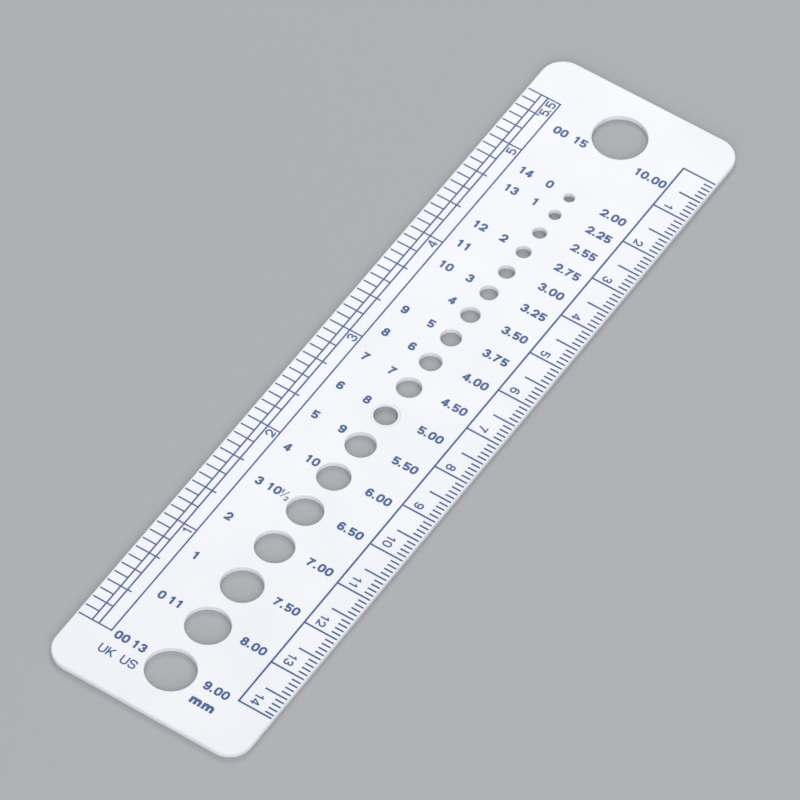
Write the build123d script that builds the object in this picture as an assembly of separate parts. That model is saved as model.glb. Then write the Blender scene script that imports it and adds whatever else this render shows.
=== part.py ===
from build123d import *
import os

# Knitting needle gauge: one flat plate of moulded plastic with a graduated
# row of round holes. A needle's size is that of the hole it just slides through.
# Sizes are in millimetres.
# X runs across the plate, Y along it towards the largest hole, Z out of the
# printed face. The origin is the middle of the plain back face.

# Plate
LENGTH = 160.0
WIDTH = 39.6
THICKNESS = 1.1
CORNER_RADIUS = 4.5
EDGE_RADIUS = 0.25

# Graduated row, on the centre line: each hole is as wide as the needle it
# gauges, and the same web of plastic stands between every two neighbours.
ROW_SIZES = (
    9.00, 8.00, 7.50, 7.00, 6.50, 6.00,
    5.50, 5.00, 4.50, 4.00, 3.75, 3.50,
    3.25, 3.00, 2.75, 2.55, 2.25, 2.00,
)
ROW_START_FROM_END = 9.65
WEB = 2.54

# The largest hole stands apart, at the far end.
LARGEST_SIZE = 10.00
LARGEST_FROM_END = 10.0

# Both mouths of a hole are eased by this much, so that a needle doesn't catch.
MOUTH_EASE = 0.1


def hole_places():
    """Pairs of a hole's size and its place along the plate, near end first."""
    places = []
    y = -LENGTH / 2 + ROW_START_FROM_END
    for index, size in enumerate(ROW_SIZES):
        if index:
            y += (ROW_SIZES[index - 1] + size) / 2 + WEB
        places.append((size, y))
    places.append((LARGEST_SIZE, LENGTH / 2 - LARGEST_FROM_END))
    return places


def blank():
    """The plate before its holes: rounded corners, and eased outer edges."""
    with BuildPart() as plate:
        with BuildSketch():
            RectangleRounded(WIDTH, LENGTH, CORNER_RADIUS)
        extrude(amount=THICKNESS)
        fillet(plate.faces().filter_by(Axis.Z).edges(), radius=EDGE_RADIUS)
    return plate.part


def gauge():
    """The finished gauge: the blank with its nineteen holes, each eased at both mouths."""
    with BuildPart() as plate:
        add(blank())
        for size, y in hole_places():
            with Locations((0, y, THICKNESS)):
                Hole(size / 2)
        mouths = plate.edges().filter_by(lambda edge: edge.is_closed)
        chamfer(mouths, MOUTH_EASE)
    plate.part.label = "gauge_plate"
    return plate.part


os.makedirs("parts", exist_ok=True)
export_step(gauge(), "parts/gauge_plate.step")
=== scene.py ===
"""The looks of a knitting needle gauge, built around its packed plate.

The gauge is one moulded plate with a graduated row of holes. This script gives
the plate its plastic finish, and adds what is printed on its front face: an
inch rule, a centimetre rule and a table of needle sizes. It also adds the thin
web of flash that the mould left inside one hole.

Sizes are in metres, in the plate's own frame: X runs across the plate, Y along
it towards the largest hole, and Z out of the printed face.
"""

from __future__ import annotations

import logging
import math
from collections.abc import Callable
from dataclasses import dataclass, field
from enum import Enum

import bmesh
import bpy
from mathutils import Matrix, Vector

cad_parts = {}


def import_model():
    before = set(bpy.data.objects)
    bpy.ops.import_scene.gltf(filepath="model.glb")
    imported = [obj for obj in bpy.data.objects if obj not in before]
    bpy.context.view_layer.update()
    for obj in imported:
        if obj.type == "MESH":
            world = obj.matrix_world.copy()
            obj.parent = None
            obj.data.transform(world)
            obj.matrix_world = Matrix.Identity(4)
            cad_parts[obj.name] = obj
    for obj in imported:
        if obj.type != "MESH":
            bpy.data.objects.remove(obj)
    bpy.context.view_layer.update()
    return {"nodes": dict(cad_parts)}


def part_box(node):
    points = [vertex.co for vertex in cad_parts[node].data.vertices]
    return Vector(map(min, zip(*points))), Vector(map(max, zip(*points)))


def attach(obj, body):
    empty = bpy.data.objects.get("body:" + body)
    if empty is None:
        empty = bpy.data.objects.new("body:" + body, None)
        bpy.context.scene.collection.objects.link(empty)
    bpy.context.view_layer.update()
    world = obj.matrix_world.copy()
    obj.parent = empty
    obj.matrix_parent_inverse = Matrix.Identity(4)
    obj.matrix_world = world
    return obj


log = logging.getLogger("needle_gauge")

MM = 0.001
PLATE_NODE = "gauge_plate"
BODY = "root"

Colour = tuple[float, float, float]


class Slot(Enum):
    """The record's material slots."""

    PLATE = "plate_white"
    PRINT = "print_blue"


class Reading(Enum):
    """The way a line of print is turned on the plate, as an angle about Z."""

    ACROSS = 0.0
    UP = math.pi / 2
    DOWN = -math.pi / 2


# Small tools for objects


def deselect_all() -> None:
    """Leaves edit mode and clears the selection, so that an operator acts on new work only."""
    if bpy.context.object and bpy.context.object.mode != "OBJECT":
        bpy.ops.object.mode_set(mode="OBJECT")
    bpy.ops.object.select_all(action="DESELECT")


def blank(name: str) -> bpy.types.Object:
    """Adds an object with an empty mesh at the origin and opens it in edit mode.

    Args:
        name: The new object's name.

    Returns:
        The object, active and in edit mode.
    """
    deselect_all()
    bpy.ops.object.add(type="MESH", location=(0, 0, 0))
    piece = bpy.context.object
    piece.name = name
    piece.data.name = name
    bpy.ops.object.mode_set(mode="EDIT")
    return piece


def join(parts: list[bpy.types.Object], name: str) -> bpy.types.Object:
    """Joins placed objects into one, with its place in its mesh.

    Args:
        parts: The objects to join.
        name: The joined object's name.

    Returns:
        The joined object, at the origin, unturned and unscaled.
    """
    deselect_all()
    for part in parts:
        part.select_set(True)
    bpy.context.view_layer.objects.active = parts[0]
    if len(parts) > 1:
        bpy.ops.object.join()
    bpy.ops.object.transform_apply(location=True, rotation=True, scale=True)
    piece = bpy.context.object
    piece.name = name
    piece.data.name = name
    return piece


def copy_of(master: bpy.types.Object) -> bpy.types.Object:
    """Copies an object with a mesh of its own, and links the copy to the scene."""
    twin = master.copy()
    twin.data = master.data.copy()
    bpy.context.scene.collection.objects.link(twin)
    return twin


def apply_modifiers(piece: bpy.types.Object) -> None:
    """Applies every modifier of a piece, in their order."""
    deselect_all()
    piece.select_set(True)
    bpy.context.view_layer.objects.active = piece
    for modifier in list(piece.modifiers):
        bpy.ops.object.modifier_apply(modifier=modifier.name)


# The pen


@dataclass
class Pen:
    """A broad nib that leaves a flat ribbon of faces in an object's edit mode.

    The nib is the ribbon's leading edge. It stays selected, so each run extrudes
    it and each bend spins it. Every stroke lies a hair above the last, so that
    no two faces share a plane where strokes cross.
    """

    sheet: bpy.types.Object
    stroke: float
    lift: float = 0.002 * MM
    bend_step: float = math.radians(10.0)
    place: Vector = field(default_factory=Vector)
    heading: float = 0.0
    strokes: int = 0

    def ahead(self) -> Vector:
        """The direction that the nib moves in."""
        return Vector((math.cos(self.heading), math.sin(self.heading), 0.0))

    def press(self, x: float, y: float, heading: float, run: float, share: float = 1.0) -> None:
        """Starts a stroke with a square dab, and slides the dab's front edge to the first run's end.

        Args:
            x: The stroke's start across the figure.
            y: The stroke's start up the figure.
            heading: The direction of the first run, in degrees from +X.
            run: The length of the first run.
            share: The share of the nib's width that touches.
        """
        width = self.stroke * share
        self.heading = math.radians(heading)
        self.place = Vector((x, y, self.strokes * self.lift))
        self.strokes += 1
        middle = self.place + self.ahead() * (width / 2)
        bpy.ops.mesh.select_all(action="DESELECT")
        bpy.ops.mesh.primitive_plane_add(
            size=width, location=middle, rotation=(0.0, 0.0, self.heading)
        )
        mesh = bmesh.from_edit_mesh(self.sheet.data)
        front = [v for v in mesh.verts if v.select and (v.co - middle).dot(self.ahead()) > 0.0]
        for face in mesh.faces:
            face.select_set(False)
        for vert in front:
            vert.select_set(True)
        mesh.select_flush(True)
        bmesh.update_edit_mesh(self.sheet.data)
        bpy.ops.transform.translate(value=self.ahead() * (run - width))
        self.place += self.ahead() * run

    def touch(self, x: float, y: float, heading: float, share: float = 1.0) -> None:
        """Starts a stroke with a short dab that ends where the first bend begins.

        Args:
            x: The first bend's start across the figure.
            y: The first bend's start up the figure.
            heading: The direction there, in degrees from +X.
            share: The share of the nib's width that touches.
        """
        dab = 0.15 * self.stroke
        angle = math.radians(heading)
        self.press(x - dab * math.cos(angle), y - dab * math.sin(angle), heading, dab, share)

    def press_between(self, start: Vector, end: Vector, share: float = 1.0) -> None:
        """Draws one straight stroke from a start to an end."""
        way = end - start
        heading = math.degrees(math.atan2(way.y, way.x))
        self.press(start.x, start.y, heading, way.length, share)

    def run(self, length: float) -> None:
        """Draws the nib straight on by a length. A length of nothing is left out."""
        if length > 0.0:
            step = self.ahead() * length
            bpy.ops.mesh.extrude_region_move(TRANSFORM_OT_translate={"value": step})
            self.place += step

    def bend(self, radius: float, turn: float) -> None:
        """Draws the nib round an arc.

        Args:
            radius: The radius of the ribbon's middle line.
            turn: The angle turned through in degrees, positive to the left.
        """
        angle = math.radians(turn)
        across = Vector((-math.sin(self.heading), math.cos(self.heading), 0.0))
        to_centre = across * math.copysign(radius, turn)
        centre = self.place + to_centre
        steps = max(2, math.ceil(abs(angle) / self.bend_step))
        bpy.ops.mesh.spin(steps=steps, angle=angle, center=centre, axis=(0.0, 0.0, -1.0))
        self.place = centre - Matrix.Rotation(angle, 3, "Z") @ to_centre
        self.heading += angle

    def trim(self, x: float, y: float, outward: tuple[float, float]) -> None:
        """Cuts off what lies outward of a line, from all that has been drawn so far.

        Args:
            x: A point on the line, across the figure.
            y: The same point, up the figure.
            outward: The direction square to the line, towards what is cut off.
        """
        bpy.ops.mesh.select_all(action="SELECT")
        bpy.ops.mesh.bisect(
            plane_co=(x, y, 0.0),
            plane_no=(*outward, 0.0),
            use_fill=False,
            clear_outer=True,
            threshold=0.1 * self.lift,
        )

    def half_turn(self, x: float, y: float) -> None:
        """Turns all that has been drawn so far upside down, about a point."""
        bpy.ops.mesh.select_all(action="SELECT")
        bpy.ops.transform.rotate(value=math.pi, orient_axis="Z", center_override=(x, y, 0.0))

    def thicken(self, depth: float) -> None:
        """Turns the flat ribbons into closed solids that reach down from the drawn faces."""
        bpy.ops.mesh.select_all(action="SELECT")
        bpy.ops.mesh.remove_doubles(threshold=self.lift / 5)
        bpy.ops.mesh.extrude_region_move(TRANSFORM_OT_translate={"value": (0.0, 0.0, -depth)})
        bpy.ops.mesh.select_all(action="SELECT")
        bpy.ops.mesh.normals_make_consistent(inside=False)


# Figures


@dataclass(frozen=True)
class Lettering:
    """One size and weight of the print's figures.

    Attributes:
        height: A figure's height.
        width: A figure's width.
        stroke: The width of its strokes.
        pitch: The distance from one figure's left side to the next one's.
        point_pitch: The same, after a decimal point.
        bar_share: The share of the stroke's width that a level bar has.
        round_share: How far round strokes reach past straight ones, as a share of the height.
    """

    height: float
    width: float
    stroke: float
    pitch: float
    point_pitch: float = 0.0
    bar_share: float = 0.88
    round_share: float = 0.035

    @property
    def left(self) -> float:
        """The middle of a stroke down the figure's left side."""
        return self.stroke / 2

    @property
    def right(self) -> float:
        """The middle of a stroke down the figure's right side."""
        return self.width - self.stroke / 2

    @property
    def foot(self) -> float:
        """The middle of a round stroke along the figure's foot."""
        return self.stroke / 2 - self.round_share * self.height

    @property
    def top(self) -> float:
        """The middle of a round stroke along the figure's top."""
        return self.height - self.foot

    @property
    def bar_foot(self) -> float:
        """The middle of a level bar along the figure's foot."""
        return self.bar_share * self.stroke / 2

    @property
    def bar_top(self) -> float:
        """The middle of a level bar along the figure's top."""
        return self.height - self.bar_foot

    @property
    def span(self) -> float:
        """The distance across between the middles of the outer strokes."""
        return self.right - self.left

    @property
    def waist(self) -> float:
        """The height at which a 3, an 8 or an S is drawn in."""
        return self.foot + 0.53 * (self.top - self.foot)

    @property
    def bowl(self) -> float:
        """The middle of the stroke along the top of a 5's or a 6's bowl."""
        return 0.66 * self.height - self.stroke / 2


@dataclass
class FigureMaker:
    """Draws each figure once in one lettering, and sets lines of print with copies.

    Attributes:
        lettering: The figures' size and weight.
        depth: How thick the ink is.
        masters: The figures drawn so far, by character.
    """

    lettering: Lettering
    depth: float
    masters: dict[str, bpy.types.Object] = field(default_factory=dict)

    def recipes(self) -> dict[str, Callable[[Pen], None]]:
        """The method that draws each character."""
        return {
            "0": self.zero, "1": self.one, "2": self.two, "3": self.three, "4": self.four,
            "5": self.five, "6": self.six, "7": self.seven, "8": self.eight, "9": self.nine,
            ".": self.point, "/": self.slash, "m": self.letter_m, "K": self.letter_k,
            "S": self.letter_s, "U": self.letter_u,
        }

    def loop(self, pen: Pen, left: float, right: float, foot: float, top: float) -> None:
        """Draws a closed loop between four sides, as round as its room allows."""
        radius = min(top - foot, right - left) / 2
        across = right - left - 2 * radius
        upward = top - foot - 2 * radius
        if upward > across:
            pen.press(left, foot + radius, 90.0, upward)
            sides = (across, upward, across)
        else:
            pen.press(left + radius, top, 0.0, across)
            sides = (upward, across, upward)
        for side in sides:
            pen.bend(radius, -90.0)
            pen.run(side)
        pen.bend(radius, -90.0)

    def zero(self, pen: Pen) -> None:
        """A narrow ring."""
        form = self.lettering
        self.loop(pen, form.left, form.right, form.foot, form.top)

    def one(self, pen: Pen) -> None:
        """A plain stem with a flag that curves up into its head, and no foot."""
        form = self.lettering
        stem = 0.57 * form.width
        flag_start = 0.16 * form.width
        flag_radius = 0.30 * form.width
        flag_end = stem - 0.15 * form.stroke
        pen.press(flag_start, 0.76 * form.height, 0.0, flag_end - flag_radius - flag_start, 0.8)
        pen.bend(flag_radius, 90.0)
        pen.run(0.1 * form.height)
        pen.trim(0.0, form.height, (0.0, 1.0))
        pen.press(stem, 0.0, 90.0, form.height)

    def two(self, pen: Pen) -> None:
        """A round head that runs straight down to the left, onto a flat foot."""
        form = self.lettering
        radius = form.span / 2
        centre = Vector((form.left + radius, form.top - radius))
        corner = Vector((form.left + 0.03 * form.width, form.bar_foot))
        way = corner - centre
        slant = math.degrees(math.atan2(way.y, way.x) + math.acos(radius / way.length))
        pen.touch(form.left, centre.y, 90.0)
        pen.bend(radius, slant - 180.0)
        pen.run(math.sqrt(way.length_squared - radius**2))
        pen.trim(0.0, 0.0, (-1.0, 0.0))
        pen.trim(0.0, 0.0, (0.0, -1.0))
        pen.press(0.0, form.bar_foot, 0.0, 0.96 * form.width, form.bar_share)

    def three(self, pen: Pen) -> None:
        """Two hooks, one on the other. The upper one is a little narrower."""
        form = self.lettering
        inset = 0.04 * form.width
        upper = (form.top - form.waist) / 2
        lower = (form.waist - form.foot) / 2
        pen.touch(form.left + inset, form.top - upper, 90.0)
        pen.bend(upper, -90.0)
        pen.run(form.span - 2 * inset - 2 * upper)
        pen.bend(upper, -180.0)
        tongue = form.left + 0.38 * form.span
        pen.press(tongue, form.waist, 0.0, form.right - lower - tongue)
        pen.bend(lower, -180.0)
        pen.run(form.span - 2 * lower)
        pen.bend(lower, -90.0)

    def four(self, pen: Pen) -> None:
        """A slanted stroke down to a bar, and a stem that crosses the bar."""
        form = self.lettering
        bar = 0.29 * form.height
        stem = form.right - 0.16 * form.width
        low = Vector((0.45 * form.stroke, bar))
        high = Vector((stem - 0.1 * form.stroke, form.height))
        overshoot = (high - low) * 0.2
        pen.press_between(low - overshoot, high + overshoot, 0.85)
        pen.trim(0.0, form.height, (0.0, 1.0))
        pen.trim(0.0, bar - form.bar_foot, (0.0, -1.0))
        pen.trim(0.0, 0.0, (-1.0, 0.0))
        pen.press(0.0, bar, 0.0, form.width, form.bar_share)
        pen.press(stem, 0.0, 90.0, form.height)

    def five(self, pen: Pen) -> None:
        """A flat head, a short stem and an open bowl."""
        form = self.lettering
        radius = (form.bowl - form.foot) / 2
        across = form.span - 2 * radius
        opening = math.radians(30.0)
        start = Vector((form.left + radius * (1 - math.cos(opening)),
                        form.foot + radius * (1 + math.sin(opening))))
        pen.touch(start.x, start.y, 60.0)
        pen.bend(radius, -60.0)
        pen.run(across)
        pen.bend(radius, -180.0)
        pen.run(across)
        pen.bend(radius, -65.0)
        overlap = 0.2 * form.stroke
        pen.press(start.x, start.y - overlap, 90.0, form.height - start.y + overlap)
        head_left = start.x - form.stroke / 2
        head = 0.94 * form.width - head_left
        pen.press(head_left, form.bar_top, 0.0, head, form.bar_share)

    def six(self, pen: Pen) -> None:
        """A hook that runs down the left side, and a closed bowl."""
        form = self.lettering
        radius = form.span / 2
        lip = math.radians(25.0)
        bowl_radius = min(form.bowl - form.foot, form.span) / 2
        lip_x = form.left + radius * (1 + math.cos(lip))
        lip_y = form.top - radius * (1 - math.sin(lip))
        pen.touch(lip_x, lip_y, 115.0)
        pen.bend(radius, 155.0)
        pen.run(form.top - radius - form.foot - bowl_radius)
        self.loop(pen, form.left, form.right, form.foot, form.bowl)

    def seven(self, pen: Pen) -> None:
        """A flat head, and a leg that curves down to the left."""
        form = self.lettering
        steep = math.radians(84.0)
        shallow = math.radians(50.0)
        head = 0.92 * form.width
        radius = form.bar_top / (math.cos(shallow) - math.cos(steep))
        foot = head - form.stroke / 2 - radius * (math.sin(steep) - math.sin(shallow))
        pen.touch(foot, 0.0, 84.0)
        pen.bend(radius, -34.0)
        pen.trim(0.0, 0.0, (0.0, -1.0))
        pen.press(0.0, form.bar_top, 0.0, head, form.bar_share)

    def eight(self, pen: Pen) -> None:
        """Two rings that share a waist. The upper one is a little narrower."""
        form = self.lettering
        inset = 0.045 * form.width
        self.loop(pen, form.left + inset, form.right - inset, form.waist, form.top)
        self.loop(pen, form.left, form.right, form.foot, form.waist)

    def nine(self, pen: Pen) -> None:
        """A 6 upside down."""
        self.six(pen)
        pen.half_turn(self.lettering.width / 2, self.lettering.height / 2)

    def point(self, pen: Pen) -> None:
        """A square dot."""
        form = self.lettering
        pen.press(0.0, form.stroke / 2, 0.0, form.stroke)

    def slash(self, pen: Pen) -> None:
        """A fraction's slanted line, as tall as the figures around the fraction."""
        form = self.lettering
        low = Vector((form.left, 0.0))
        high = Vector((form.right, form.height))
        overshoot = (high - low) * 0.2
        pen.press_between(low - overshoot, high + overshoot)
        pen.trim(0.0, form.height, (0.0, 1.0))
        pen.trim(0.0, 0.0, (0.0, -1.0))

    def letter_m(self, pen: Pen) -> None:
        """A stem and two arches."""
        form = self.lettering
        gap = form.span / 2
        radius = 0.4 * gap
        pen.press(form.left, 0.0, 90.0, form.height)
        for start in (form.left, form.left + gap):
            pen.touch(start, form.top - radius, 90.0)
            pen.bend(radius, -90.0)
            pen.run(gap - 2 * radius)
            pen.bend(radius, -90.0)
            pen.run(form.top - radius)

    def letter_k(self, pen: Pen) -> None:
        """A stem with two slanted arms."""
        form = self.lettering
        high = Vector((0.86 * form.width, form.height))
        fork = Vector((form.left, 0.30 * form.height))
        low = Vector((0.90 * form.width, 0.0))
        knee = Vector((0.36 * form.width, 0.60 * form.height))
        pen.press_between(fork, high + (high - fork) * 0.2)
        pen.press_between(knee, low + (low - knee) * 0.2)
        pen.trim(0.0, form.height, (0.0, 1.0))
        pen.trim(0.0, 0.0, (0.0, -1.0))
        pen.press(form.left, 0.0, 90.0, form.height)

    def letter_s(self, pen: Pen) -> None:
        """Two hooks that face opposite ways, in one stroke."""
        form = self.lettering
        upper = (form.top - form.waist) / 2
        lower = (form.waist - form.foot) / 2
        pen.touch(form.right, form.top - upper, 90.0)
        pen.bend(upper, 90.0)
        pen.run(form.span - 2 * upper)
        pen.bend(upper, 180.0)
        pen.run(form.span - upper - lower)
        pen.bend(lower, -180.0)
        pen.run(form.span - 2 * lower)
        pen.bend(lower, -90.0)

    def letter_u(self, pen: Pen) -> None:
        """Two stems joined by a round foot."""
        form = self.lettering
        radius = 0.42 * form.span
        pen.press(form.left, form.height, -90.0, form.top - radius)
        pen.bend(radius, 90.0)
        pen.run(form.span - 2 * radius)
        pen.bend(radius, 90.0)
        pen.run(form.top - radius)

    def master(self, character: str) -> bpy.types.Object:
        """The drawn figure that a character's copies are made from."""
        if character not in self.masters:
            piece = blank("figure")
            pen = Pen(piece, self.lettering.stroke)
            self.recipes()[character](pen)
            pen.thicken(self.depth)
            bpy.ops.object.mode_set(mode="OBJECT")
            self.masters[character] = piece
        return self.masters[character]

    def set_line(
        self, text: str, anchor: Vector, reading: Reading = Reading.ACROSS, share: float = 0.0
    ) -> list[bpy.types.Object]:
        """Sets one line of print with copies of the figures.

        Args:
            text: The characters to set.
            anchor: The point on the line's foot that the ink is set against.
            reading: The way that the line is turned.
            share: The share of the line's ink that lies before the anchor.

        Returns:
            The placed copies.
        """
        form = self.lettering
        cells = []
        cell = 0.0
        for character in text:
            cells.append(cell)
            cell += form.point_pitch if character == "." else form.pitch
        first = min(v.co.x for v in self.master(text[0]).data.vertices)
        last = cells[-1] + max(v.co.x for v in self.master(text[-1]).data.vertices)
        start = -first - share * (last - first)
        turn = Matrix.Translation(anchor) @ Matrix.Rotation(reading.value, 4, "Z")
        copies = []
        for character, cell in zip(text, cells):
            twin = copy_of(self.master(character))
            twin.matrix_world = turn @ Matrix.Translation((start + cell, 0.0, 0.0))
            copies.append(twin)
        return copies

    def clear(self) -> None:
        """Removes the drawn figures once their copies are set."""
        for piece in self.masters.values():
            bpy.data.objects.remove(piece)
        self.masters.clear()


@dataclass(frozen=True)
class Ink:
    """How the print lies on the plate.

    Attributes:
        face: The height of the plate's printed face.
        proud: How far the ink stands out of the face.
        sunk: How far it reaches below the face, so that no gap shows.
    """

    face: float
    proud: float = 0.012 * MM
    sunk: float = 0.02 * MM

    @property
    def level(self) -> float:
        """The height of the ink's top."""
        return self.face + self.proud

    @property
    def depth(self) -> float:
        """The ink's whole thickness."""
        return self.proud + self.sunk


# Finishes


@dataclass
class NodeBench:
    """Adds and joins the nodes of one shader tree."""

    tree: bpy.types.NodeTree

    def add(
        self, kind: str, inputs: dict[str, object] | None = None, **settings: object
    ) -> bpy.types.Node:
        """Adds a node.

        Args:
            kind: The node's type.
            inputs: Values for its sockets, by name.
            settings: Values for its own settings.

        Returns:
            The node.
        """
        node = self.tree.nodes.new(kind)
        for name, value in settings.items():
            setattr(node, name, value)
        for name, value in (inputs or {}).items():
            node.inputs[name].default_value = value
        return node

    def join(self, source: bpy.types.NodeSocket, target: bpy.types.NodeSocket) -> None:
        """Joins an output to an input."""
        self.tree.links.new(source, target)


@dataclass(frozen=True)
class MouldedSkin:
    """A shader group for a moulded surface: fine grain over a slow, shallow drift."""

    name: str = "moulded_skin"

    def group(self) -> bpy.types.NodeTree:
        """Builds the group at its first use, and returns it."""
        if self.name in bpy.data.node_groups:
            return bpy.data.node_groups[self.name]
        tree = bpy.data.node_groups.new(self.name, "ShaderNodeTree")
        for name in ("Grain Scale", "Drift Scale", "Smooth", "Matt"):
            tree.interface.new_socket(name=name, in_out="INPUT", socket_type="NodeSocketFloat")
        for name in ("Roughness", "Height", "Mottle"):
            tree.interface.new_socket(name=name, in_out="OUTPUT", socket_type="NodeSocketFloat")
        bench = NodeBench(tree)
        given = bench.add("NodeGroupInput")
        result = bench.add("NodeGroupOutput")
        place = bench.add("ShaderNodeTexCoord")
        grain = bench.add("ShaderNodeTexNoise", {"Detail": 3.0, "Roughness": 0.6})
        drift = bench.add("ShaderNodeTexNoise", {"Detail": 2.0, "Roughness": 0.45})
        for noise, scale in ((grain, "Grain Scale"), (drift, "Drift Scale")):
            bench.join(place.outputs["Object"], noise.inputs["Vector"])
            bench.join(given.outputs[scale], noise.inputs["Scale"])
        blend = bench.add("ShaderNodeMix", {"Factor": 0.45}, data_type="FLOAT")
        bench.join(grain.outputs["Fac"], blend.inputs["A"])
        bench.join(drift.outputs["Fac"], blend.inputs["B"])
        spread = bench.add("ShaderNodeMapRange", {"From Min": 0.35, "From Max": 0.65})
        bench.join(blend.outputs["Result"], spread.inputs["Value"])
        bench.join(given.outputs["Smooth"], spread.inputs["To Min"])
        bench.join(given.outputs["Matt"], spread.inputs["To Max"])
        bench.join(spread.outputs["Result"], result.inputs["Roughness"])
        bench.join(blend.outputs["Result"], result.inputs["Height"])
        bench.join(drift.outputs["Fac"], result.inputs["Mottle"])
        return tree


@dataclass(frozen=True)
class SurfaceFinish:
    """A finish with the moulded skin: two near colours, a range of gloss and a shallow relief.

    Attributes:
        name: The material's name.
        colour: The surface's main colour.
        shade: The colour that it drifts towards.
        smooth: The roughness where it is smoothest.
        matt: The roughness where it is least smooth.
        grain_scale: The grain's fineness, per metre.
        drift_scale: The drift's fineness, per metre.
        relief: The height of the relief.
        glow: How much light spreads below the surface.
        glow_depth: How far it spreads.
    """

    name: str
    colour: Colour
    shade: Colour
    smooth: float
    matt: float
    grain_scale: float
    drift_scale: float
    relief: float
    glow: float = 0.0
    glow_depth: float = 0.0

    def material(self) -> bpy.types.Material:
        """Builds the material at its first use, and returns it."""
        if self.name in bpy.data.materials:
            return bpy.data.materials[self.name]
        material = bpy.data.materials.new(self.name)
        material.use_nodes = True
        material.diffuse_color = (*self.colour, 1.0)
        bench = NodeBench(material.node_tree)
        shader = material.node_tree.nodes["Principled BSDF"]
        shader.inputs["Subsurface Weight"].default_value = self.glow
        shader.inputs["Subsurface Scale"].default_value = self.glow_depth
        shader.inputs["Subsurface Radius"].default_value = (1.0, 1.0, 1.0)
        skin = bench.add("ShaderNodeGroup", node_tree=MouldedSkin().group())
        skin.inputs["Grain Scale"].default_value = self.grain_scale
        skin.inputs["Drift Scale"].default_value = self.drift_scale
        skin.inputs["Smooth"].default_value = self.smooth
        skin.inputs["Matt"].default_value = self.matt
        tint = bench.add("ShaderNodeMix", data_type="RGBA")
        tint.inputs["A"].default_value = (*self.colour, 1.0)
        tint.inputs["B"].default_value = (*self.shade, 1.0)
        bump = bench.add("ShaderNodeBump", {"Distance": self.relief})
        bench.join(skin.outputs["Mottle"], tint.inputs["Factor"])
        bench.join(tint.outputs["Result"], shader.inputs["Base Color"])
        bench.join(skin.outputs["Roughness"], shader.inputs["Roughness"])
        bench.join(skin.outputs["Height"], bump.inputs["Height"])
        bench.join(bump.outputs["Normal"], shader.inputs["Normal"])
        return material

    def dress(self, piece: bpy.types.Object) -> None:
        """Gives a piece this finish all over."""
        if piece.data.materials:
            for index in range(len(piece.data.materials)):
                piece.data.materials[index] = self.material()
        else:
            piece.data.materials.append(self.material())


WHITE_PLASTIC = SurfaceFinish(
    name="white_plastic",
    colour=(0.815, 0.833, 0.870),
    shade=(0.785, 0.804, 0.845),
    smooth=0.26,
    matt=0.36,
    grain_scale=2600.0,
    drift_scale=70.0,
    relief=0.003 * MM,
    glow=0.12,
    glow_depth=0.6 * MM,
)
BLUE_INK = SurfaceFinish(
    name="blue_ink",
    colour=(0.005, 0.055, 0.215),
    shade=(0.009, 0.072, 0.255),
    smooth=0.38,
    matt=0.55,
    grain_scale=5200.0,
    drift_scale=480.0,
    relief=0.003 * MM,
)


# The plate


@dataclass
class Plate:
    """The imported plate, and the flash that its mould left in one hole.

    Attributes:
        node: The plate's object.
        finish: Its plastic.
        flash_size: The size of the hole with the flash.
        flash_opening: The width of the opening that the flash leaves.
        flash_root: How thick the flash is at the hole's wall.
        flash_lip: How thick it is at its own edge.
        flash_below: How far it lies below the printed face.
        seat: How far its rim reaches into the hole's wall.
    """

    node: bpy.types.Object
    finish: SurfaceFinish = WHITE_PLASTIC
    flash_size: float = 5.0 * MM
    flash_opening: float = 4.3 * MM
    flash_root: float = 0.22 * MM
    flash_lip: float = 0.05 * MM
    flash_below: float = 0.12 * MM
    seat: float = 0.05 * MM

    @property
    def length(self) -> float:
        """The plate's length."""
        return self.high.y - self.low.y

    @property
    def low(self) -> Vector:
        """The plate's lowest corner."""
        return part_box(PLATE_NODE)[0]

    @property
    def high(self) -> Vector:
        """The plate's highest corner."""
        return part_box(PLATE_NODE)[1]

    @property
    def face(self) -> float:
        """The height of the printed face."""
        return self.high.z

    def dress(self) -> None:
        """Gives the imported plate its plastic."""
        self.finish.dress(self.node)

    def flash_web(self, place: float) -> bpy.types.Object:
        """Makes the ring of flash.

        Args:
            place: The hole's place along the plate.

        Returns:
            The ring.
        """
        rim = self.flash_size / 2 + self.seat
        shrink = (self.flash_opening / 2) / rim
        centre = Vector((0.0, place, self.face - self.flash_below))
        piece = blank("flash_web")
        bpy.ops.mesh.primitive_circle_add(vertices=72, radius=rim, location=centre, fill_type="NOTHING")
        bpy.ops.mesh.extrude_region_move()
        bpy.ops.transform.resize(value=(shrink, shrink, 1.0), center_override=centre)
        bpy.ops.mesh.extrude_region_move(TRANSFORM_OT_translate={"value": (0.0, 0.0, -self.flash_lip)})
        drop = self.flash_lip - self.flash_root
        bpy.ops.mesh.extrude_region_move(TRANSFORM_OT_translate={"value": (0.0, 0.0, drop)})
        bpy.ops.transform.resize(value=(1 / shrink, 1 / shrink, 1.0), center_override=centre)
        bpy.ops.mesh.select_non_manifold(extend=False)
        bpy.ops.mesh.bridge_edge_loops()
        bpy.ops.mesh.select_all(action="SELECT")
        bpy.ops.mesh.normals_make_consistent(inside=False)
        bpy.ops.object.mode_set(mode="OBJECT")
        bpy.ops.object.shade_smooth_by_angle(angle=math.radians(35.0))
        self.finish.dress(piece)
        return piece


# The rules


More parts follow.
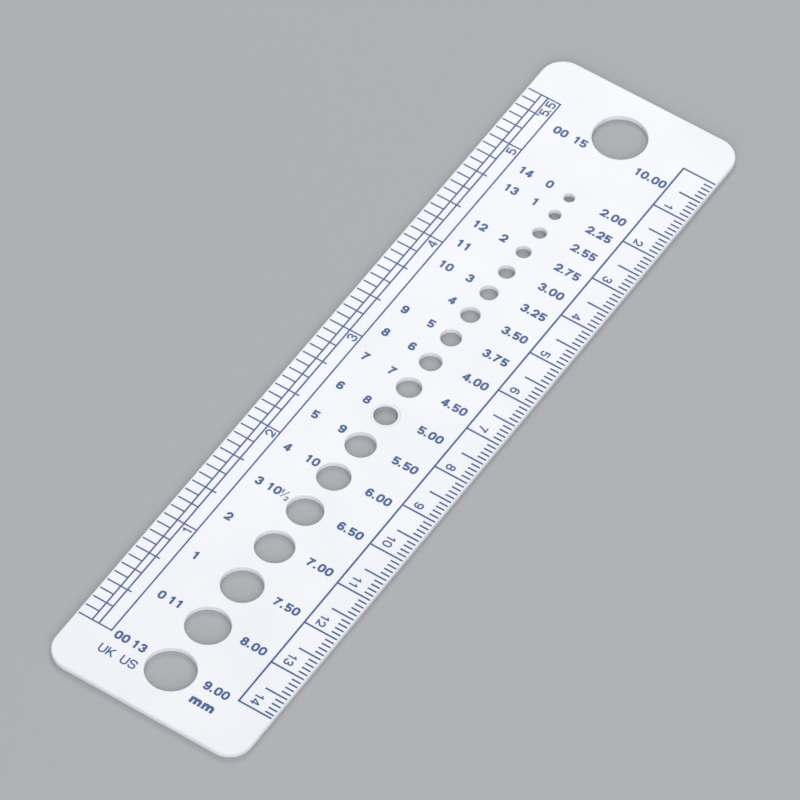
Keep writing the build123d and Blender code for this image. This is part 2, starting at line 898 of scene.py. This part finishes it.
@dataclass(frozen=True)
class Comb:
    """A row of equal ticks at equal steps along the plate.

    Attributes:
        start: The ticks' start across the plate.
        end: Their end across the plate.
        first: The first tick's place along the plate.
        step: The distance from tick to tick, negative towards the near end.
        count: The number of ticks.
    """

    start: float
    end: float
    first: float
    step: float
    count: int

    def draw(self, stroke: float, ink: Ink) -> bpy.types.Object:
        """Draws one tick, and repeats it.

        Args:
            stroke: The ticks' width.
            ink: How the print lies on the plate.

        Returns:
            The row of ticks.
        """
        piece = blank("ticks")
        pen = Pen(piece, stroke)
        pen.press(self.start, self.first, 0.0, self.end - self.start)
        pen.thicken(ink.depth)
        bpy.ops.object.mode_set(mode="OBJECT")
        row = piece.modifiers.new("row", "ARRAY")
        row.count = self.count
        row.use_relative_offset = False
        row.use_constant_offset = True
        row.constant_offset_displace = (0.0, self.step, 0.0)
        apply_modifiers(piece)
        piece.location.z = ink.level
        return piece


@dataclass
class Rule:
    """One printed rule: ticks, the lines that run along them, and their numbers.

    Attributes:
        name: The piece's name.
        near: The place of its near end line, along the plate.
        length: The distance between its end lines.
        inner: Where its inner lengthwise line lies.
        outer: Where its ticks end, at the plate's long edge.
        stroke: The width of its lines.
        ink: How the print lies on the plate.
        finish: The ink's finish.
    """

    name: str
    near: float
    length: float
    inner: float
    outer: float
    stroke: float
    ink: Ink
    finish: SurfaceFinish = BLUE_INK

    @property
    def far(self) -> float:
        """The place of the far end line, along the plate."""
        return self.near + self.length

    def combs(self) -> list[Comb]:
        """The rows of ticks, each of which goes on where the last one ends."""
        raise NotImplementedError

    def long_lines(self) -> list[float]:
        """The places of the lengthwise lines, across the plate."""
        return [self.inner]

    def scale(self) -> bpy.types.Object:
        """Draws the ticks, the end lines and the lengthwise lines as one piece."""
        low, high = sorted((self.inner, self.outer))
        ends = Comb(low, high, self.near, self.length, 2)
        parts = [comb.draw(self.stroke, self.ink) for comb in (ends, *self.combs())]
        piece = blank("long_lines")
        pen = Pen(piece, self.stroke, strokes=1)
        for place in self.long_lines():
            pen.press(place, self.near - self.stroke / 2, 90.0, self.length + self.stroke)
        pen.thicken(self.ink.depth)
        bpy.ops.object.mode_set(mode="OBJECT")
        piece.location.z = self.ink.level
        parts.append(piece)
        piece = join(parts, self.name + "_scale")
        self.finish.dress(piece)
        return piece


@dataclass
class InchRule(Rule):
    """The rule in twelfths of an inch, along the left edge. It counts from the near end.

    Attributes:
        first_line: Where its outer lengthwise line lies, which every tick reaches.
        second_line: Where its middle lengthwise line lies, which even ticks reach.
        third_reach: Where every fourth tick ends.
        numbers: The lettering of its numbers.
        number_foot: Where the numbers stand, across the plate.
        number_gaps: The distance from each number up to its line, in millimetres.
    """

    first_line: float = -16.68 * MM
    second_line: float = -15.32 * MM
    third_reach: float = -14.49 * MM
    numbers: Lettering = Lettering(
        height=1.75 * MM, width=1.35 * MM, stroke=0.31 * MM, pitch=1.4 * MM, point_pitch=0.68 * MM
    )
    number_foot: float = -13.2 * MM
    number_gaps: tuple[float, ...] = (0.68, 0.40, 0.48, 0.64, 0.58, 0.45)
    inch: float = 25.4 * MM

    def combs(self) -> list[Comb]:
        """Ticks at every twelfth, second, fourth and twelfth twelfth, as far as each reaches."""
        twelfth = self.inch / 12
        reaches = (
            (1, self.outer, self.first_line),
            (2, self.first_line, self.second_line),
            (4, self.second_line, self.third_reach),
            (12, self.third_reach, self.inner),
        )
        whole = round(self.length / twelfth)
        return [
            Comb(start, end, self.near + every * twelfth, every * twelfth, (whole - 1) // every)
            for every, start, end in reaches
        ]

    def long_lines(self) -> list[float]:
        """The inner line and two more between the ticks."""
        return [self.inner, self.first_line, self.second_line]

    def number_line(self) -> bpy.types.Object:
        """Sets the numbers, which read up the plate, each below its line."""
        maker = FigureMaker(self.numbers, self.ink.depth)
        whole_inches = int(self.length / self.inch)
        marks = [(str(inch), inch) for inch in range(1, whole_inches + 1)]
        marks.append((f"{self.length / self.inch:.1f}", self.length / self.inch))
        copies = []
        for (text, inches), gap in zip(marks, self.number_gaps):
            along = self.near + inches * self.inch - gap * MM
            anchor = Vector((self.number_foot, along, self.ink.level))
            copies += maker.set_line(text, anchor, Reading.UP, share=1.0)
        piece = join(copies, self.name + "_numbers")
        maker.clear()
        self.finish.dress(piece)
        return piece


@dataclass
class CentimetreRule(Rule):
    """The rule in millimetres, along the right edge. It counts from the far end.

    Attributes:
        five_start: Where the ticks of five millimetres start.
        one_start: Where the ticks of one millimetre start.
        numbers: The lettering of its numbers.
        number_foot: Where the numbers stand, across the plate.
        number_gaps: The distance from each number down to its line, in millimetres.
    """

    five_start: float = 15.2 * MM
    one_start: float = 17.8 * MM
    numbers: Lettering = Lettering(
        height=1.65 * MM, width=1.24 * MM, stroke=0.30 * MM, pitch=1.27 * MM
    )
    number_foot: float = 14.58 * MM
    number_gaps: tuple[float, ...] = (
        0.88, 0.56, 0.52, 0.54, 0.56, 0.82, 0.81, 0.67, 0.77, 0.96, 0.92, 0.72, 0.94, 0.77,
    )
    centimetre: float = 10.0 * MM

    def combs(self) -> list[Comb]:
        """Ticks at every millimetre, five millimetres and centimetre, as far as each reaches."""
        reaches = (
            (1, self.one_start, self.outer),
            (5, self.five_start, self.one_start),
            (10, self.inner, self.five_start),
        )
        whole = int(self.length / MM)
        return [
            Comb(start, end, self.far - every * MM, -every * MM, whole // every)
            for every, start, end in reaches
        ]

    def number_line(self) -> bpy.types.Object:
        """Sets the numbers, which read down the plate, each above its line."""
        maker = FigureMaker(self.numbers, self.ink.depth)
        copies = []
        for count, gap in enumerate(self.number_gaps, start=1):
            along = max(self.far - count * self.centimetre, self.near) + gap * MM
            anchor = Vector((self.number_foot, along, self.ink.level))
            copies += maker.set_line(str(count), anchor, Reading.DOWN, share=1.0)
        piece = join(copies, self.name + "_numbers")
        maker.clear()
        self.finish.dress(piece)
        return piece


# The table of sizes


@dataclass(frozen=True)
class SizeRow:
    """What is printed beside one hole. Its sizes and places are in millimetres.

    Attributes:
        size: The hole's size.
        metric_raised: How far its size in millimetres stands above the hole's middle.
        others_raised: How far the other two size numbers stand above it.
        british: The British size number, in the first column.
        american: The American size number, in the second column.
        british_left: Where the first column's ink starts.
        american_left: Where the second column's ink starts.
    """

    size: float
    metric_raised: float
    others_raised: float = 0.0
    british: str = ""
    american: str = ""
    british_left: float = -10.58
    american_left: float = -5.08


@dataclass
class SizeTable:
    """The sizes printed beside the holes, and the heads of their columns.

    Attributes:
        near_end: The place of the plate's near end.
        far_end: The place of its far end.
        ink: How the print lies on the plate.
        rows: What stands beside each hole of the row, near end first.
        row_start: The distance from the near end to the first hole's middle.
        web: The web of plastic between every two holes of the row.
        largest: What stands beside the largest hole.
        largest_from_end: The distance from the far end to that hole's middle.
        metric_left: Where the sizes in millimetres start.
        head_foot: The distance from the near end to the foot of the columns' heads.
        figures: The lettering of the sizes.
        small_figures: The lettering of a fraction's figures.
        fraction_line: The lettering of a fraction's slanted line.
        column_heads: The lettering of the first two columns' heads.
        metric_head: The lettering of the last column's head.
        finish: The ink's finish.
    """

    near_end: float
    far_end: float
    ink: Ink
    rows: tuple[SizeRow, ...] = (
        SizeRow(9.00, 0.69, 0.98, "00", "13", british_left=-11.83, american_left=-8.20),
        SizeRow(8.00, 0.76, 0.94, "0", "11", american_left=-8.34),
        SizeRow(7.50, 0.46, 0.71, "1", british_left=-10.35),
        SizeRow(7.00, 0.71, 0.94, "2"),
        SizeRow(6.50, 0.71, 0.92, "3", "10½", american_left=-8.11),
        SizeRow(6.00, 0.59, 0.81, "4", "10", american_left=-6.06),
        SizeRow(5.50, 0.56, 1.07, "5", "9"),
        SizeRow(5.00, 0.70, 1.00, "6", "8"),
        SizeRow(4.50, 0.80, 1.40, "7", "7", british_left=-10.46, american_left=-4.98),
        SizeRow(4.00, 0.71, 1.05, "8", "6"),
        SizeRow(3.75, 0.65, 0.66, "9", "5"),
        SizeRow(3.50, 0.58, 0.90, "", "4", american_left=-4.93),
        SizeRow(3.25, 0.69, 0.83, "10", "3"),
        SizeRow(3.00, 0.66, 0.77, "11"),
        SizeRow(2.75, 0.50, 0.62, "12", "2"),
        SizeRow(2.55, 0.62),
        SizeRow(2.25, 0.58, 0.50, "13", "1", american_left=-4.87),
        SizeRow(2.00, 0.59, 0.64, "14", "0"),
    )
    row_start: float = 9.65 * MM
    web: float = 2.54 * MM
    largest: SizeRow = SizeRow(
        10.00, -4.76, -4.80, "00", "15", british_left=-10.65, american_left=-6.42
    )
    largest_from_end: float = 10.0 * MM
    metric_left: float = 6.31 * MM
    head_foot: float = 6.02 * MM
    figures: Lettering = Lettering(
        height=1.70 * MM, width=1.31 * MM, stroke=0.42 * MM, pitch=1.45 * MM, point_pitch=0.73 * MM
    )
    small_figures: Lettering = Lettering(
        height=0.95 * MM, width=0.68 * MM, stroke=0.20 * MM, pitch=0.8 * MM
    )
    fraction_line: Lettering = Lettering(
        height=1.70 * MM, width=1.05 * MM, stroke=0.17 * MM, pitch=1.05 * MM
    )
    column_heads: Lettering = Lettering(
        height=1.75 * MM, width=1.4 * MM, stroke=0.29 * MM, pitch=1.6 * MM
    )
    metric_head: Lettering = Lettering(
        height=1.35 * MM, width=2.2 * MM, stroke=0.54 * MM, pitch=2.45 * MM
    )
    finish: SurfaceFinish = BLUE_INK

    def hole_places(self) -> dict[float, float]:
        """The place of each hole's middle along the plate, by its size in millimetres."""
        places = {}
        along = self.near_end + self.row_start
        last = self.rows[0].size
        for row in self.rows:
            if places:
                along += (last + row.size) / 2 * MM + self.web
            places[row.size] = along
            last = row.size
        places[self.largest.size] = self.far_end - self.largest_from_end
        return places

    def foot(self, row: SizeRow, raised: float) -> float:
        """The foot of a number whose middle stands a distance above its hole's middle."""
        return self.hole_places()[row.size] + raised * MM - self.figures.height / 2

    def finish_piece(self, copies: list[bpy.types.Object], name: str) -> bpy.types.Object:
        """Joins the set figures into a named piece, and inks it."""
        piece = join(copies, name)
        self.finish.dress(piece)
        return piece

    def metric_column(self) -> bpy.types.Object:
        """Sets the sizes in millimetres, right of the holes."""
        maker = FigureMaker(self.figures, self.ink.depth)
        copies = []
        for row in (*self.rows, self.largest):
            anchor = Vector((self.metric_left, self.foot(row, row.metric_raised), self.ink.level))
            copies += maker.set_line(f"{row.size:.2f}", anchor)
        piece = self.finish_piece(copies, "metric_sizes")
        maker.clear()
        return piece

    def british_column(self) -> bpy.types.Object:
        """Sets the British size numbers, in the first column left of the holes."""
        maker = FigureMaker(self.figures, self.ink.depth)
        copies = []
        for row in (*self.rows, self.largest):
            if row.british:
                foot = self.foot(row, row.others_raised)
                anchor = Vector((row.british_left * MM, foot, self.ink.level))
                copies += maker.set_line(row.british, anchor)
        piece = self.finish_piece(copies, "british_sizes")
        maker.clear()
        return piece

    def american_column(self) -> bpy.types.Object:
        """Sets the American size numbers, in the second column left of the holes."""
        maker = FigureMaker(self.figures, self.ink.depth)
        copies = []
        for row in (*self.rows, self.largest):
            whole = row.american.rstrip("½")
            if whole:
                foot = self.foot(row, row.others_raised)
                anchor = Vector((row.american_left * MM, foot, self.ink.level))
                copies += maker.set_line(whole, anchor)
                if whole != row.american:
                    copies += self.half(anchor)
        piece = self.finish_piece(copies, "american_sizes")
        maker.clear()
        return piece

    def half(self, start: Vector) -> list[bpy.types.Object]:
        """Sets a small half after a whole number of two figures that starts at a place."""
        maker = FigureMaker(self.small_figures, self.ink.depth)
        liner = FigureMaker(self.fraction_line, self.ink.depth)
        over = self.figures.height - self.small_figures.height
        copies = maker.set_line("1", start + Vector((2.55 * MM, over, 0.0)))
        copies += liner.set_line("/", start + Vector((2.85 * MM, 0.0, 0.0)))
        copies += maker.set_line("2", start + Vector((3.75 * MM, -0.35 * MM, 0.0)))
        maker.clear()
        liner.clear()
        return copies

    def heads(self) -> bpy.types.Object:
        """Sets the heads of the three columns, below the lowest row."""
        foot = self.near_end + self.head_foot
        words = FigureMaker(self.column_heads, self.ink.depth)
        unit = FigureMaker(self.metric_head, self.ink.depth)
        copies = words.set_line("UK", Vector((-9.50 * MM, foot, self.ink.level)), share=1.0)
        copies += words.set_line("US", Vector((-5.13 * MM, foot, self.ink.level)), share=1.0)
        copies += unit.set_line("mm", Vector((6.04 * MM, foot - 0.15 * MM, self.ink.level)))
        piece = self.finish_piece(copies, "column_heads")
        words.clear()
        unit.clear()
        return piece


# The studio


@dataclass(frozen=True)
class FloorFinish:
    """The plain pale floor."""

    name: str = "pale_floor"
    colour: Colour = (0.42, 0.43, 0.45)
    roughness: float = 0.8

    def material(self) -> bpy.types.Material:
        """Builds the floor's material."""
        material = bpy.data.materials.new(self.name)
        material.use_nodes = True
        shader = material.node_tree.nodes["Principled BSDF"]
        shader.inputs["Base Color"].default_value = (*self.colour, 1.0)
        shader.inputs["Roughness"].default_value = self.roughness
        return material


@dataclass(frozen=True)
class Lamp:
    """A square soft lamp that points at the plate's middle.

    Attributes:
        name: The lamp's name.
        place: Where it stands.
        size: The length of its sides.
        power: Its power in watts.
        colour: Its light's colour.
    """

    name: str
    place: tuple[float, float, float]
    size: float
    power: float
    colour: Colour = (1.0, 1.0, 1.0)

    def hang(self) -> None:
        """Adds the lamp to the scene."""
        light = bpy.data.lights.new(self.name, "AREA")
        light.shape = "SQUARE"
        light.size = self.size
        light.energy = self.power
        light.color = self.colour
        lamp = bpy.data.objects.new(self.name, light)
        lamp.location = self.place
        lamp.rotation_euler = (-Vector(self.place)).to_track_quat("-Z", "Y").to_euler()
        bpy.context.scene.collection.objects.link(lamp)


@dataclass(frozen=True)
class Viewpoint:
    """The photographer's place, as an orbit round a point on the plate.

    Attributes:
        target: The point in the middle of the picture.
        azimuth: How far the camera is turned round from the plate's near end, in degrees.
        elevation: How far it looks down, in degrees.
        roll: How far it leans to its left, in degrees.
        distance: Its distance from the point.
        lens: Its focal length, in millimetres.
        sensor: Its sensor's width, in millimetres.
    """

    target: tuple[float, float, float] = (0.245 * MM, -0.988 * MM, 1.1 * MM)
    azimuth: float = 31.241
    elevation: float = 52.014
    roll: float = 2.606
    distance: float = 1.3751
    lens: float = 360.86
    sensor: float = 36.0

    def place_camera(self) -> None:
        """Adds the camera and makes it the scene's own."""
        data = bpy.data.cameras.new("camera")
        data.lens = self.lens
        data.sensor_width = self.sensor
        camera = bpy.data.objects.new("camera", data)
        camera.matrix_world = (
            Matrix.Translation(self.target)
            @ Matrix.Rotation(math.radians(self.azimuth), 4, "Z")
            @ Matrix.Rotation(math.radians(90.0 - self.elevation), 4, "X")
            @ Matrix.Rotation(math.radians(self.roll), 4, "Z")
            @ Matrix.Translation((0.0, 0.0, self.distance))
        )
        bpy.context.scene.collection.objects.link(camera)
        bpy.context.scene.camera = camera


@dataclass
class Studio:
    """The floor, the lamps, the surrounding light and the camera.

    Attributes:
        floor_size: The length of the floor's sides.
        floor_gap: How far the floor lies below the plate's back.
        surround: The strength of the even light from all round.
        lamps: The soft lamps.
        viewpoint: The camera's place.
    """

    floor_size: float = 4.0
    floor_gap: float = 0.02 * MM
    surround: float = 0.45
    lamps: tuple[Lamp, ...] = (
        Lamp("front", (0.51, -1.10, 0.70), 0.9, 8.4),
        Lamp("side", (1.10, -0.30, 0.80), 0.8, 3.5),
        Lamp("back", (-0.45, 0.75, 0.90), 0.6, 5.2),
    )
    viewpoint: Viewpoint = Viewpoint()

    def lay_floor(self) -> None:
        """Adds the floor that the plate lies on."""
        deselect_all()
        bpy.ops.mesh.primitive_plane_add(size=self.floor_size, location=(0.0, 0.0, -self.floor_gap))
        floor = bpy.context.object
        floor.name = "floor"
        bpy.ops.object.transform_apply(location=True, rotation=True, scale=True)
        floor.data.materials.append(FloorFinish().material())

    def light_surround(self) -> None:
        """Lights the scene evenly from all round, and shows white where it is seen itself."""
        world = bpy.data.worlds.new("surround")
        world.use_nodes = True
        bench = NodeBench(world.node_tree)
        light = world.node_tree.nodes["Background"]
        light.inputs["Color"].default_value = (1.0, 1.0, 1.0, 1.0)
        path = bench.add("ShaderNodeLightPath")
        seen = path.outputs["Is Camera Ray"]
        for ray in ("Is Glossy Ray", "Is Transmission Ray"):
            either = bench.add("ShaderNodeMath", operation="MAXIMUM")
            bench.join(seen, either.inputs[0])
            bench.join(path.outputs[ray], either.inputs[1])
            seen = either.outputs["Value"]
        strength = bench.add("ShaderNodeMix", data_type="FLOAT")
        strength.inputs["A"].default_value = self.surround
        strength.inputs["B"].default_value = 1.0
        bench.join(seen, strength.inputs["Factor"])
        bench.join(strength.outputs["Result"], light.inputs["Strength"])
        bpy.context.scene.world = world

    def build(self) -> None:
        """Sets up the whole studio."""
        self.lay_floor()
        self.light_surround()
        for lamp in self.lamps:
            lamp.hang()
        self.viewpoint.place_camera()
        bpy.context.scene.view_settings.view_transform = "Standard"


# The whole gauge


def place_piece(piece: bpy.types.Object) -> None:
    """Makes a finished piece part of the gauge, and reports it.

    Args:
        piece: The piece.
    """
    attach(piece, BODY)
    log.info("%s: %d faces", piece.name, len(piece.data.polygons))


def main() -> None:
    """Builds the gauge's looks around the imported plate, piece by piece."""
    logging.basicConfig(level=logging.INFO, format="%(name)s: %(message)s")
    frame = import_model()

    plate = Plate(frame["nodes"][PLATE_NODE])
    ink = Ink(face=plate.face)
    near = plate.low.y + 10.72 * MM
    span = 139.7 * MM
    table = SizeTable(near_end=plate.low.y, far_end=plate.high.y, ink=ink)
    inches = InchRule("inch", near, span, -12.73 * MM, -19.42 * MM, 0.29 * MM, ink)
    centimetres = CentimetreRule("centimetre", near, span, 12.97 * MM, 19.53 * MM, 0.34 * MM, ink)

    plate.dress()
    place_piece(plate.flash_web(table.hole_places()[5.0]))
    for build in (
        inches.scale,
        inches.number_line,
        centimetres.scale,
        centimetres.number_line,
        table.metric_column,
        table.british_column,
        table.american_column,
        table.heads,
    ):
        place_piece(build())
    Studio().build()


if __name__ == "__main__":
    main()
